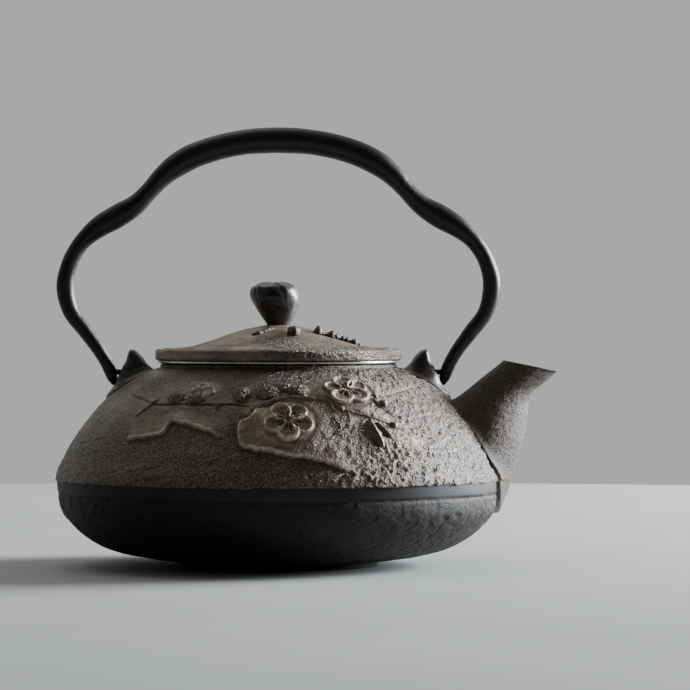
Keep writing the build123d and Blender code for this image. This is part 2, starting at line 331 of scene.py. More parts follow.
def turned_rings(profile, angle):
    """Rings of points for a list of (radius, height)."""
    radii, heights = (np.array(column)[:, None] for column in zip(*profile))
    return around(radii, angle, heights)


def arc(centre, radius, start_degrees, end_degrees, steps):
    """Points of a round stretch of an outline."""
    turns = np.radians(np.linspace(start_degrees, end_degrees, steps))
    return [(centre[0] + radius * math.cos(t), centre[1] + radius * math.sin(t)) for t in turns]


# ---- materials ----


class Nodes:
    """The shader nodes of a material or a world, built up step by step."""

    def __init__(self, owner):
        owner.use_nodes = True
        self.tree = owner.node_tree

    def link(self, source, node, socket):
        if isinstance(source, (int, float, tuple)):
            node.inputs[socket].default_value = source
        else:
            self.tree.links.new(source, node.inputs[socket])

    def node(self, kind, output, **sources):
        """Adds a node, feeds its sockets with values or with other nodes, and returns an output."""
        node = self.tree.nodes.new("ShaderNode" + kind)
        for socket, source in sources.items():
            self.link(source, node, socket.replace("_", " "))
        return node.outputs[output]

    def spread(self, source, low, high, out_low=0.0, out_high=1.0):
        """Maps low..high of a value to out_low..out_high."""
        return self.node(
            "MapRange", "Result", Value=source,
            From_Min=low, From_Max=high, To_Min=out_low, To_Max=out_high,
        )

    def blend(self, share, first, second):
        """Mixes two colours by a share that varies over the surface."""
        node = self.tree.nodes.new("ShaderNodeMix")
        node.data_type = "RGBA"
        for socket, source in ((0, share), (6, colour(first)), (7, colour(second))):
            self.link(source, node, socket)
        return node.outputs[2]

    def tones(self, source, low, high, first, second):
        """One colour where a value is low and another where it is high."""
        return self.blend(self.spread(source, low, high), first, second)


class Finish(Nodes):
    """A material; its patterns follow the piece's own coordinates."""

    def __init__(self, name, **shader_values):
        self.material = bpy.data.materials.new(name)
        super().__init__(self.material)
        self.shader = self.tree.nodes["Principled BSDF"]
        for socket, value in shader_values.items():
            self.shader.inputs[socket.replace("_", " ")].default_value = value
        self.coords = self.node("TexCoord", "Object")

    def stretched(self, scale):
        """The coordinates stretched along an axis."""
        return self.node("Mapping", "Vector", Vector=self.coords, Scale=scale)

    def noise(self, size_mm, detail=3.0, roughness=0.55, coords=None, distortion=0.0):
        return self.node(
            "TexNoise", "Fac", Vector=coords or self.coords, Scale=1 / (size_mm * MM),
            Detail=detail, Roughness=roughness, Distortion=distortion,
        )

    def pits(self, size_mm):
        return self.node("TexVoronoi", "Distance", Vector=self.coords, Scale=1 / (size_mm * MM))

    def layer(self, name):
        """A value that the mesh carries on its points."""
        node = self.tree.nodes.new("ShaderNodeAttribute")
        node.attribute_name = name
        return node.outputs["Fac"]

    def set(self, socket, source):
        self.tree.links.new(source, self.shader.inputs[socket])

    def relief(self, source, depth_mm, strength=1.0):
        """Fine bumps, added on top of those already there."""
        bumps = {"Distance": depth_mm * MM, "Strength": strength, "Height": source}
        before = self.shader.inputs["Normal"].links
        if before:
            bumps["Normal"] = before[0].from_socket
        self.set("Normal", self.node("Bump", "Normal", **bumps))


def colour(tone):
    """A (red, green, blue) tone made opaque; a node's output is left as it is."""
    return tone + (1.0,) if isinstance(tone, tuple) else tone


def brown_iron():
    """Speckled cast iron: dark pits, brown tips, smooth halos round the relief, and a pale painted
    highlight on the crests that the worn layer marks.
    """
    finish = Finish("cast_iron_brown", Metallic=0.3, IOR=1.65)
    halo = finish.layer("halo")
    worn = finish.layer("worn")
    grain = finish.noise(0.52, detail=4.0, roughness=0.6)
    cells = finish.pits(0.8)
    broad = finish.noise(14.0, detail=4.0)
    streaks = finish.noise(3.2, detail=4.0, coords=finish.stretched((0.45, 0.45, 1.5)), distortion=0.6)
    speckle = finish.spread(grain, 0.44, 0.57)
    rough_tone = finish.blend(speckle, (0.005, 0.0042, 0.0037), (0.24, 0.175, 0.122))
    pitted = finish.tones(cells, 0.0, 0.45, (0.006, 0.0055, 0.005), rough_tone)
    smooth_tone = finish.tones(streaks, 0.35, 0.7, (0.13, 0.092, 0.062), (0.43, 0.31, 0.215))
    mixed = finish.blend(halo, pitted, smooth_tone)
    shaded = finish.tones(broad, 0.32, 0.68, (0.04, 0.03, 0.022), mixed)
    # painted highlight: a pale tone laid where the worn layer marks plate crests and petal crowns, standing
    # in for the light they catch
    painted_highlight_tone = finish.tones(grain, 0.3, 0.6, (0.38, 0.295, 0.22), (0.72, 0.6, 0.48))
    finish.set("Base Color", finish.blend(worn, finish.blend(0.45, mixed, shaded), painted_highlight_tone))
    finish.set("Roughness", finish.spread(grain, 0.35, 0.7, 0.56, 0.26))
    calm = finish.spread(halo, 0.0, 1.0, 1.0, 0.22)
    finish.relief(grain, 0.95, calm)
    finish.relief(cells, 0.35, calm)
    return finish.material


def relief_iron():
    """The same iron worn smooth on raised branches, buds and leaves."""
    finish = Finish("relief_iron", Metallic=0.3, IOR=1.5)
    grain = finish.noise(0.55, detail=4.0)
    broad = finish.noise(4.5, detail=3.0)
    tone = finish.tones(grain, 0.35, 0.66, (0.03, 0.021, 0.015), (0.2, 0.145, 0.102))
    finish.set("Base Color", finish.tones(broad, 0.3, 0.7, tone, (0.1, 0.072, 0.05)))
    finish.set("Roughness", finish.spread(grain, 0.3, 0.7, 0.5, 0.32))
    finish.relief(grain, 0.18)
    return finish.material


def sandy_iron(name, dark, light, worn_tone):
    """Dark sandy iron, as below the shell and on the spout."""
    finish = Finish(name, Metallic=0.15, IOR=1.42)
    halo = finish.layer("halo")
    grain = finish.noise(0.5, detail=4.0, roughness=0.65)
    broad = finish.noise(11.0, detail=5.0, distortion=0.5)
    sand = finish.tones(grain, 0.38, 0.66, dark, light)
    worn = finish.tones(broad, 0.36, 0.66, sand, worn_tone)
    finish.set("Base Color", finish.blend(halo, worn, (0.012, 0.0112, 0.0108)))
    finish.set("Roughness", finish.spread(grain, 0.3, 0.7, 0.72, 0.5))
    calm = finish.spread(halo, 0.0, 1.0, 1.0, 0.22)
    finish.relief(grain, 0.34, calm)
    return finish.material


def handle_iron():
    """Forged iron rod under a dull black lacquer."""
    finish = Finish("black_iron", IOR=1.42)
    fine = finish.noise(0.35, detail=4.0)
    broad = finish.noise(9.0, detail=3.0)
    tone = finish.tones(broad, 0.35, 0.7, (0.005, 0.0047, 0.0044), (0.012, 0.0102, 0.009))
    finish.set("Base Color", tone)
    finish.set("Roughness", finish.spread(fine, 0.3, 0.7, 0.5, 0.38))
    finish.relief(fine, 0.05)
    finish.relief(broad, 0.25, 0.5)
    return finish.material


def dark_bronze(name, coat):
    """Black-brown lacquer on the knob and, duller, on the lugs, whose feet are bare."""
    finish = Finish(name, Metallic=0.2, IOR=1.5, Coat_Weight=coat, Coat_Roughness=0.2)
    broad = finish.noise(3.6, detail=4.0, distortion=0.4)
    fine = finish.noise(0.5, detail=3.0)
    lacquer = finish.tones(broad, 0.42, 0.72, (0.008, 0.0066, 0.0058), (0.05, 0.032, 0.021))
    bare = finish.tones(fine, 0.35, 0.65, (0.05, 0.037, 0.027), (0.15, 0.11, 0.078))
    finish.set("Base Color", finish.blend(finish.layer("halo"), lacquer, bare))
    finish.set("Roughness", finish.spread(broad, 0.3, 0.7, 0.34, 0.52))
    finish.relief(fine, 0.06)
    finish.relief(broad, 0.3, 0.6)
    return finish.material


def glazed_enamel():
    """Black glass enamel inside the pot."""
    finish = Finish("glazed_ceramic", IOR=1.5, Coat_Weight=0.6, Coat_Roughness=0.06)
    ripple = finish.noise(6.0, detail=2.0)
    specks = finish.noise(0.6, detail=2.0)
    finish.set("Base Color", finish.tones(specks, 0.6, 0.75, (0.012, 0.013, 0.015), (0.05, 0.053, 0.058)))
    finish.set("Roughness", finish.spread(ripple, 0.3, 0.7, 0.12, 0.22))
    finish.relief(ripple, 0.2, 0.4)
    return finish.material


def brushed_steel():
    """Stainless sheet with fine lines round the strainer."""
    finish = Finish("steel", Metallic=1.0, IOR=2.5)
    lines = finish.noise(0.5, detail=4.0, coords=finish.stretched((0.03, 0.03, 3.0)))
    cloud = finish.noise(8.0, detail=3.0)
    finish.set("Base Color", finish.tones(cloud, 0.3, 0.7, (0.56, 0.56, 0.55), (0.68, 0.68, 0.66)))
    finish.set("Roughness", finish.spread(lines, 0.3, 0.7, 0.2, 0.36))
    finish.relief(lines, 0.01)
    return finish.material


# each look is a slot's name and a material
BROWN = ("cast_iron_brown", brown_iron())
RELIEF = ("cast_iron_brown", relief_iron())
SANDY = ("cast_iron_brown", sandy_iron(
    "bowl_iron", (0.002, 0.0017, 0.0015), (0.016, 0.012, 0.009), (0.004, 0.0031, 0.0025)
))
SPOUT_IRON = ("cast_iron_brown", sandy_iron(
    "spout_iron", (0.018, 0.0144, 0.0115), (0.17, 0.131, 0.1), (0.062, 0.047, 0.036)
))
BLACK = ("black_iron", handle_iron())
BRONZE = ("dark_bronze", dark_bronze("knob_bronze", 0.4))
LUG_BRONZE = ("dark_bronze", dark_bronze("lug_bronze", 0.2))
STEEL = ("steel", brushed_steel())
ENAMEL = ("glazed_ceramic", glazed_enamel())


# ---- the cast picture: where the flowers, branches and raised plates are ----

# name: (degrees, height, width, share of the width it is tall, turn of the first petal in degrees, lift)
BLOSSOMS = {
    "low_blossom": (3.7, 47.4, 15.8, 0.93, 53.0, 1.6),
    "right_blossom": (24.9, 56.6, 16.2, 0.8, 24.0, 1.2),
    "left_blossom": (-27.6, 56.2, 11.0, 0.75, 5.0, 0.6),
    "back_low_blossom": (186.0, 48.5, 15.4, 0.95, 75.0, 1.15),
    "back_high_blossom": (206.0, 56.6, 14.6, 0.82, 20.0, 1.15),
}

# each raised plate edge runs with the raised side on its left
RIGHT_PLATE = [
    (-6.9, 51.3), (-6.2, 50.1), (-10.3, 46.8), (-10.7, 43.9), (-9.5, 40.6), (-2.0, 38.8),
    (4.0, 37.3), (10.0, 36.4), (13.0, 35.3), (17.7, 33.1), (21.9, 30.0),
]
LEFT_PLATE = [
    (-46.0, 41.5), (-40.6, 42.2), (-36.4, 42.7), (-33.0, 44.2), (-31.9, 47.3), (-28.0, 46.9),
    (-24.0, 46.0), (-19.0, 44.6), (-15.7, 43.0), (-12.4, 41.9),
]
BACK_PLATE = [
    (128.0, 33.0), (140.0, 37.5), (152.0, 39.5), (163.0, 43.5), (170.0, 48.0), (176.0, 43.0),
    (188.0, 38.5), (203.0, 36.0), (219.0, 31.5),
]
# edge, rise of the plate and how far behind its edge it sinks back
PLATES = [(RIGHT_PLATE, 1.1, 15.0), (LEFT_PLATE, 1.0, 9.0), (BACK_PLATE, 1.0, 11.0)]
LONG_BRANCH = [
    (-60.0, 55.3), (-50.0, 54.2), (-43.8, 52.9), (-30.2, 52.8), (-19.5, 52.8), (-10.3, 52.5), (-6.9, 51.3),
]
STEM = [
    (-6.3, 50.7), (-2.4, 52.8), (3.8, 54.5), (10.3, 54.2), (16.9, 53.7), (20.9, 51.0), (23.9, 50.1),
    (27.5, 49.1), (31.4, 47.8), (36.1, 45.9), (40.8, 42.0),
]
HIGH_TWIG = [(28.5, 53.6), (34.9, 54.8), (38.5, 55.1), (47.5, 56.4), (61.9, 57.8)]
LEFT_TWIG = [(-47.4, 48.5), (-44.3, 51.4), (-42.0, 53.9)]
BACK_BRANCH = [
    (148.0, 55.0), (160.0, 53.2), (172.0, 53.8), (184.0, 54.6), (196.0, 52.8), (208.0, 50.2), (219.0, 46.0),
]
# line, how smooth the ground beside it is, and where the groove along it runs (left is positive)
BRANCH_GROUND = [
    (LONG_BRANCH, 0.75, -0.5), (STEM, 0.9, 0.9), (BACK_BRANCH, 0.8, -0.9), (HIGH_TWIG, 0.2, 0.35),
]
# degrees, height, radius, rise and tallness of the half-open flowers
HALF_OPEN = [
    (-34.6, 54.1, 3.4, 1.5, 0.7), (-26.8, 53.9, 3.4, 1.5, 0.7), (-2.4, 56.1, 3.9, 1.6, 0.85),
    (7.6, 56.6, 3.8, 1.6, 0.8), (2.6, 57.5, 2.8, 1.3, 0.85), (-11.4, 55.4, 2.5, 1.8, 1.45),
]


def plate_height(angle, along, points, rise, fade):
    """Height of a plate that ends in a sharp edge and sinks back into the shell behind it."""
    line = shell.line(points, 60)
    distance, side, share = shell.to_line(angle, along, line)
    place = shell.place(angle, along)
    signed = distance * side + 0.5 * noise(place, 3.2, 51) + 0.35 * noise(place, 1.3, 52)
    ends = ramp(share, 0.0, 0.05) * ramp(share, 1.0, 0.8)
    step = ramp(signed, -0.3, 0.1)
    body = 0.85 - 0.85 * ramp(signed, 0.3, fade)
    crest = 0.3 * bump(signed, 0.28, 0.3)
    gully = -0.35 * bump(signed, -0.45, 0.4)
    height = rise * ends * (step * (body + crest) + gully)
    # the second value marks the plate's crest for a pale painted highlight (the worn layer)
    return height, ends * bump(signed, 0.3, 0.35), ends * step * (1 - ramp(signed, 0.5, fade))


def shell_relief(angle, along):
    """Height of the cast picture's ground over the plain shell, how smooth it is, and where its plate
    crests get a painted highlight.
    """
    points = shell.place(angle, along)
    height = 0.22 * noise(points, 24.0, 3) + 0.1 * noise(points, 9.0, 4)
    halo = np.zeros_like(height)
    worn = np.zeros_like(height)
    for plate, rise, fade in PLATES:
        raised, edge, flat = plate_height(angle, along, plate, rise, fade)
        height += raised
        halo = np.maximum(halo, 0.7 * flat)
        # the plate crests get a pale painted highlight through the worn layer
        worn = np.maximum(worn, edge)
    for branch, smooth, groove in BRANCH_GROUND:
        distance, side, share = shell.to_line(angle, along, shell.line(branch, 50))
        soft = np.exp(-((distance / 3.0) ** 2))
        dent = 0.45 * bump(distance * side, groove, 0.4) * ramp(share, 1.0, 0.9)
        height += 0.2 * smooth * soft - dent
        halo = np.maximum(halo, smooth * soft)
    for degrees, z, width, tall, _, _ in BLOSSOMS.values():
        middle = float(shell.along_at(z))
        across = (angle - math.radians(degrees) + math.pi) % math.tau - math.pi
        distance = np.hypot(across * shell.radius(along), (along - middle) / tall) / (width / 2)
        height += 0.28 * (1 - ramp(distance, 0.8, 1.8)) - 0.3 * bump(distance, 1.08, 0.1)
        halo = np.maximum(halo, 1 - ramp(distance, 1.0, 1.9))
    for degrees, z, radius, _, tall in HALF_OPEN:
        # this angle isn't wrapped, so the ground is only smooth right of the pot's middle
        across = (angle - math.radians(degrees)) * shell.radius(along)
        distance = np.hypot(across, (along - float(shell.along_at(z))) / tall) / radius
        halo = np.maximum(halo, 0.9 * (1 - ramp(distance, 1.0, 2.3)))
    ragged = layered(points, 4.0, 21)
    halo = np.clip(halo + 0.35 * halo * ragged, 0, 1)
    brushed = ramp(-points[..., 0], 5.0, 40.0) * ramp(along, 12.0, 24.0)
    halo = np.maximum(halo, 0.55 * brushed * ramp(noise(points, 12.0, 33), -0.6, 0.5))
    rougher = 0.65 + 1.7 * ramp(points[..., 0], -8.0, 40.0)
    coarse = 0.17 * layered(points, 1.6, 8, layers=2) + 0.2 * np.minimum(noise(points, 3.6, 12), 0)
    across = angle * shell.radius(along)
    slanted = joined(0.2 * (across + 0.35 * along), along - 0.35 * across, 0.0)
    streaked = ramp(-points[..., 0], -12.0, 12.0) * (1 - ramp(along, 17.0, 25.0))
    coarse += 0.42 * streaked * noise(slanted, 2.2, 15)
    height += coarse * rougher * (1 - 0.75 * halo)
    return height, halo, worn


def make_shell():
    """The decorated upper shell: outer skin, neck, mouth rim and inner wall in one closed ring."""
    columns = 820
    u = full_turn(columns)
    angle = u - 0.35 * np.sin(u)
    along = np.linspace(0, shell.length, 104)
    grid_along, grid_angle = np.meshgrid(along, angle, indexing="ij")
    height, halo, worn = shell_relief(grid_angle, grid_along)
    fade = ramp(grid_along, shell.length, shell.length - 2.0)
    outer = shell.place(grid_angle, grid_along, height * fade)
    ragged = layered(outer[0], 5.0, 17)
    outer[0, :, 2] += 0.32 * ragged
    outer[1, :, 2] += 0.2 * ragged
    neck = [(NECK_R, MOUTH_TOP_Z - 0.35), (NECK_R - 0.35, MOUTH_TOP_Z)]
    neck += [(MOUTH_R + 0.4, MOUTH_TOP_Z), (MOUTH_R, MOUTH_TOP_Z - 0.4)]
    inside = shell.inside(0.93, 0.04, 10)
    lap = BAND_TOP_Z + 0.35
    lining = [(MOUTH_R, inside[0][1])] + inside + [(BAND_R - WALL, lap), (BAND_R - 0.6, lap)]
    points = np.concatenate([outer, turned_rings(neck + lining, angle)])
    hidden = np.zeros((len(neck + lining), columns))
    # the worn layer marks the plate crests for a pale painted highlight
    layers = {"halo": np.concatenate([halo, hidden]), "worn": np.concatenate([worn, hidden])}
    return make_piece("pot_shell", *looped(points), "pot", ["pot_body"], BROWN, layers)


def make_bowl():
    """The plain sandy bowl below, with its smooth band and flat foot."""
    columns = 560
    angle = full_turn(columns)
    along = np.linspace(0, bowl.length, 130)
    grid_along, grid_angle = np.meshgrid(along, angle, indexing="ij")
    plain = bowl.place(grid_angle, grid_along)
    band = ramp(plain[..., 2], BAND_LOW_Z - 0.5, BAND_LOW_Z + 0.3)
    grain = 0.13 * layered(plain, 1.5, 41, layers=2)
    hammered = 0.14 * noise(plain, 7.0, 44) + 0.5 * np.minimum(noise(plain, 2.7, 45) + 0.2, 0)
    fade = ramp(grid_along, 0.0, 4.0)
    lift = (1 - band) * fade * (grain + hammered) + 0.06 * band * noise(plain, 9.0, 46)
    lift -= 0.3 * bump(plain[..., 2], BAND_LOW_Z - 0.6, 0.5)
    outer = bowl.place(grid_angle, grid_along, lift)
    foot = [(6.0, 0.35), (20.0, 0.35), (28.0, 0.3), (29.0, 0.0), (FOOT_R - 0.5, 0.0), (FOOT_R, 0.5)]
    hollow = [(BAND_R, BAND_TOP_Z + 1.0), (BAND_R - WALL, BAND_TOP_Z + 1.0)] + bowl.inside(1.0, 0.06, 10)
    hollow += [(20.0, FOOT_TOP_Z + WALL), (4.0, FOOT_TOP_Z + WALL)]
    rings = [turned_rings(foot, angle), outer, turned_rings(hollow, angle)]
    points, faces = capped(np.concatenate(rings))
    halo = np.zeros(len(points))
    start = len(foot) * columns
    halo[start:start + band.size] = band.ravel()
    make_piece("pot_bowl", points, faces, "pot", ["pot_body"], SANDY, {"halo": halo})


def near_pot(points, reach):
    """1 on the skin of the bowl and shell, fading over a level reach on both sides of it."""
    outline = np.vstack([bowl.outline, shell.outline])
    body_radius = np.interp(points[..., 2], outline[:, 1], outline[:, 0])
    return np.exp(-np.abs(np.hypot(points[..., 0], points[..., 1]) - body_radius) / reach)


# height, back edge, front edge, half width of the spout's level sections
SPOUT_SECTIONS = [
    (17.0, 50.0, 69.0, 13.0), (24.0, 50.0, 73.1, 15.6), (32.0, 50.0, 75.9, 17.0),
    (40.0, 50.0, 78.3, 16.0), (48.0, 51.2, 79.7, 13.8), (52.4, 55.8, 80.3, 11.9),
    (56.0, 60.2, 82.2, 10.4), (59.4, 64.4, 86.4, 9.2), (62.0, 67.7, 88.9, 8.4),
    (67.0, 73.8, 90.6, 7.4),
]
SPOUT_LOW_Z = SPOUT_SECTIONS[0][0]
CHANNEL_LOW_Z = 32.0
MOUTH_BACK_X = 72.1
MOUTH_BACK_Z = 65.6
MOUTH_SLOPE = 0.21
BEAK_X = 85.8


def squared(wave, squareness):
    """A sine or cosine that draws a circle with squarer corners."""
    return np.sign(wave) * np.abs(wave) ** (2 / squareness)


def spout_rings(columns, rows, shrink, start_z, flare):
    """Level rings of the spout, or of its channel when it is shrunk."""
    table = np.array(SPOUT_SECTIONS)
    heights = np.linspace(start_z, table[-1, 0], rows)
    smooth = smooth_path(table, 400)
    back, front, half = (np.interp(heights, smooth[:, 0], smooth[:, k]) for k in (1, 2, 3))
    back = back + shrink[0]
    front = front - shrink[1]
    half = half - shrink[2]
    turn = full_turn(columns)
    cosine, sine = squared(np.cos(turn), 2.25), squared(np.sin(turn), 2.25)
    middle = ((front + back) / 2)[:, None]
    reach = ((front - back) / 2)[:, None]
    narrowed = 1 - 0.1 * ramp(cosine, 0.1, 1.0)
    rings = joined(middle + reach * cosine, half[:, None] * sine * narrowed, heights[:, None])
    if flare:
        rings = rings + level_way(turn) * (1.7 * near_pot(rings, 1.5))[..., None]
    return rings


def clip_to_mouth(rings):
    """Lowers points onto the sloping plane of the spout's mouth, with a small dip at the beak."""
    x = rings[..., 0]
    beak = 0.45 * bump(x, BEAK_X, 0.9)
    top = MOUTH_BACK_Z - MOUTH_SLOPE * (x - MOUTH_BACK_X) - beak
    rings[..., 2] = np.minimum(rings[..., 2], top)
    return rings


def spout_channel():
    """The closed form that hollows the spout and opens the shell behind it."""
    back_front_side_walls = (4.0, 2.6, 2.4)
    return capped(spout_rings(96, 60, back_front_side_walls, CHANNEL_LOW_Z, flare=False))


def make_spout():
    """The sandy spout: a closed form, hollowed by its channel and by the pot's belly."""
    columns = 220
    rings = spout_rings(columns, 150, (0, 0, 0), SPOUT_LOW_Z, flare=True)
    wobble = 0.1 * layered(rings, 1.4, 61, layers=2) + 0.12 * noise(rings, 6.0, 63)
    rings = rings + level_way(full_turn(columns)) * wobble[..., None]
    points, faces = capped(clip_to_mouth(rings))
    piece = make_piece("pot_spout", points, faces, "pot", ["pot_body"], SPOUT_IRON)
    belly = bowl.inside(0.06, 1.0, 20) + shell.inside(0.0, 0.93, 30)
    belly = [(4.0, belly[0][1])] + belly + [(4.0, belly[-1][1])]
    cut(piece, *capped(turned_rings(belly, full_turn(240))))
    cut(piece, *spout_channel())


# middle across, half length, half depth, height and tilt of the lug's rings
LUG_RINGS = [
    (47.4, 7.9, 8.6, 56.0, -0.55), (46.9, 6.9, 7.4, 58.1, -0.5), (46.3, 5.9, 6.4, 60.4, -0.36),
    (46.0, 5.1, 5.6, 62.3, -0.2), (45.8, 4.0, 4.8, 63.9, -0.08), (45.8, 2.9, 4.0, 65.6, 0.0),
    (46.1, 2.1, 3.1, 67.2, 0.0), (46.4, 1.4, 2.1, 68.4, 0.1), (46.7, 0.8, 1.0, 69.0, 0.1),
]


HOLE_R = 1.9
HOLE_INNER_X = 41.5
HOLE_OUTER_X = 48.2
HOLE_FLAT_END = [(0.01, HOLE_OUTER_X)]
HOLE_FLARE = [(2.4, 48.9), (3.6, 50.9), (5.2, 53.2), (0.01, 53.2)]


def hinge_hole(side, outer_end):
    """The round hole for the handle's journal, which ends as the (radius, X) points say."""
    profile = [(0.01, HOLE_INNER_X), (HOLE_R, HOLE_INNER_X), (HOLE_R, HOLE_OUTER_X)] + outer_end
    hole = turned_rings(profile, full_turn(48))
    return capped(joined(side * hole[..., 2], hole[..., 0], HINGE_Z + hole[..., 1]))


def make_lug(name, side):
    """One of the two ears that hold the handle, with its hole along X."""
    table = smooth_path(LUG_RINGS, 46)
    turn = full_turn(96)
    across, depth = squared(np.cos(turn), 2.7), squared(np.sin(turn), 2.7)
    middle, length, thickness, height, tilt = (table[:, k][:, None] for k in range(5))
    rings = joined(middle + length * across, thickness * depth, height + tilt * length * across)
    swell = 1.1 * near_pot(rings, 1.6) + 0.22 * noise(rings, 3.5, 71)
    rings += joined(across, depth, 0.0) * swell[..., None]
    rings[..., 0] *= side
    points, faces = capped(rings)
    layers = {"halo": near_pot(points, 1.8)}
    piece = make_piece(name, points, faces, "pot", ["pot_body"], LUG_BRONZE, layers)
    cut(piece, *hinge_hole(side, HOLE_FLARE))


# ---- flowers, buds, leaves and twigs ----


def patch(surface, degrees, z, outline, relief, rows=40, columns=160, tall=1.0):
    """A closed raised patch: outline(turn) is its edge and relief(u, v, share) its height."""
    turn = full_turn(columns)
    edge = outline(turn)
    share = np.linspace(0.01, 1.0, rows)[:, None]
    u = share * edge * np.cos(turn)
    v = share * edge * np.sin(turn)
    lift = relief(u, v, share + 0 * u)
    u = np.vstack([u, u[-1] * 1.03, u[-1] * 0.98])
    v = np.vstack([v, v[-1] * 1.03, v[-1] * 0.98])
    lift = np.vstack([lift, 0.25 * lift[-1], np.full(columns, -0.9)])
    along = surface.along_at(z) + tall * v
    angle = math.radians(degrees) + u / surface.radius(along)
    return capped(surface.place(angle, along, lift))


def make_blossom(name, degrees, z, width, tall, turn_degrees, lift, seed):
    """A plum blossom with five dished petals, stamens and a small boss."""
    dice = np.random.default_rng(seed)
    centres = math.radians(turn_degrees) + np.arange(5) * math.tau / 5 + 0.07 * dice.normal(size=5)
    reach = 0.285 * width * (1 + 0.04 * dice.normal(size=5))
    petal = 0.228 * width * (1 + 0.06 * dice.normal(size=5))
    above = np.array([0.0, 0.14, 0.05, 0.18, 0.09])
    tilt = 0.12 * dice.normal(size=(5, 2))

    def outline(turn):
        edges = []
        for centre, away, radius in zip(centres, reach, petal):
            delta = turn - centre
            inside = radius**2 - (away * np.sin(delta)) ** 2
            edge = away * np.cos(delta) + np.sqrt(np.maximum(inside, 0))
            edges.append(np.where((inside > 0) & (np.cos(delta) > 0), edge, 0))
        return np.maximum(np.max(edges, axis=0), 0.27 * width)

    crowns = []  # the petals' height at every point, for the painted highlight on their crowns (the worn layer)

    def relief(u, v, share):
        tops = []
        for centre, away, radius, extra, lean in zip(centres, reach, petal, above, tilt):
            across = (u - away * math.cos(centre)) / radius
            along = (v - away * math.sin(centre)) / radius
            off = np.hypot(across, along)
            dish = 0.5 + 0.15 * off**2 + 0.4 * bump(off, 0.82, 0.17) + lean[0] * across + lean[1] * along
            tops.append((dish + extra) * ramp(off, 1.1, 0.95))
        height = np.maximum(np.max(tops, axis=0), 0.3)
        distance = np.hypot(u, v) / width
        turn = np.arctan2(v, u)
        middle = ramp(distance, 0.26, 0.19) * ramp(distance, 0.07, 0.1)
        height += middle * (0.42 * np.cos(11 * turn + seed) - 0.25)
        height = np.maximum(height, 0.9 * np.sqrt(np.maximum(1 - (distance / 0.075) ** 2, 0)))
        height -= 0.4 * bump(distance, 0.0, 0.03)
        crowns.append(height)
        grain = 0.09 * noise(joined(u, v, 0.0), 0.9, seed)
        return lift * height * (1 - 0.3 * ramp(share, 0.93, 1.0)) + grain

    points, faces = patch(shell, degrees, z, outline, relief, rows=64, columns=300, tall=tall)
    worn = np.zeros(len(points))
    patches = 0.55 + 0.45 * noise(points, 1.3, seed + 7)
    # the raised petal crowns and rims get a pale painted highlight through the worn layer
    worn[:crowns[0].size] = ramp(crowns[0].ravel(), 0.5, 1.1)
    layers = {"halo": 0.5 + 0.5 * patches, "worn": 0.85 * worn * patches}
    make_piece(name, points, faces, "pot", [], BROWN, layers)


def make_half_open():
    """The half-open flowers, as dark rough domes."""
    clay = Clay()
    for number, (degrees, z, radius, height, tall) in enumerate(HALF_OPEN):
        outline, relief = dome(radius, height, 3, 20 + number)
        clay.add(*patch(shell, degrees, z, outline, relief, rows=20, columns=80, tall=tall))
    make_clay("pot_half_open_flowers", clay, "pot", [], BROWN)


def dome(radius, height, dents, seed):
    """Outline and relief of a round bud, with folds where its petals meet."""

    def relief(u, v, share):
        turn = np.arctan2(v, u)
        folds = np.abs(np.sin(turn * dents / 2 + 0.6)) ** 0.5
        ball = np.sqrt(np.maximum(1 - (share * 0.97) ** 2, 0))
        grain = 0.05 * noise(joined(u, v, 0.0), 0.9, seed)
        return height * ball * (0.78 + 0.22 * folds) + grain

    return (lambda turn: radius * (1 + 0.05 * np.sin(3 * turn + seed)), relief)


def leaf(length, width, heading, height):
    """Outline and relief of a pointed leaf with a raised vein."""

    def outline(turn):
        delta = turn - heading
        oval = 0.5 / np.sqrt((np.cos(delta) / length) ** 2 + (np.sin(delta) / width) ** 2)
        return oval * (1 - 0.3 * np.abs(np.sin(2 * delta)))

    def relief(u, v, share):
        across = -u * math.sin(heading) + v * math.cos(heading)
        roof = 1 - 0.9 * np.minimum(np.abs(across) / (0.42 * width), 1)
        return height * (0.15 + 0.85 * roof * (1 - share**5))

    return outline, relief


def add_buds(clay, surface, buds):
    """Small three-fold buds from (degrees, height, radius, rise)."""
    for number, (degrees, z, radius, rise) in enumerate(buds):
        clay.add(*patch(surface, degrees, z, *dome(radius, rise, 3, number), rows=14, columns=48))


def twig(surface, points, thick, thin, seed, count=None, knobbly=0.25):
    """A knobbly tapered twig, half sunk in a surface, along (degrees, height) points."""
    line = surface.line(points, count or max(8, 12 * len(points)))
    angle, along = line[:, 0], line[:, 1]
    radius = surface.radius(along)
    run = joined(np.gradient(angle) * radius, np.gradient(along))
    run /= np.linalg.norm(run, axis=1, keepdims=True)
    share = np.linspace(0, 1, len(line))
    centre = surface.place(angle, along)
    knots = 1 + knobbly * noise(centre, 2.3, seed) + 0.6 * knobbly * noise(centre, 0.9, seed + 1)
    width = (thick + (thin - thick) * share) * knots
    width = width * np.sqrt(np.clip(np.minimum(share, 1 - share) * 14, 0.02, 1))
    turn = full_turn(14)
    side = width[:, None] * np.cos(turn)
    lift = width[:, None] * (0.95 * np.sin(turn) + 0.25)
    angles = angle[:, None] - side * run[:, 1:2] / radius[:, None]
    alongs = along[:, None] + side * run[:, 0:1]
    return capped(surface.place(angles, alongs, lift))


def add_thorns(clay, thorns, seed):
    """Short thorns that leave a twig, from (degrees, height, heading, length, width)."""
    for number, (degrees, z, heading, length, width) in enumerate(thorns):
        reach = math.degrees(length * math.cos(heading) / shell.radius(shell.along_at(z)))
        middle = (degrees + reach / 2, z + 0.4 * length * math.sin(heading))
        tip = (degrees + reach, z + 0.8 * length * math.sin(heading))
        clay.add(*twig(shell, [(degrees, z), middle, tip], width, 0.15, seed + number, count=10))


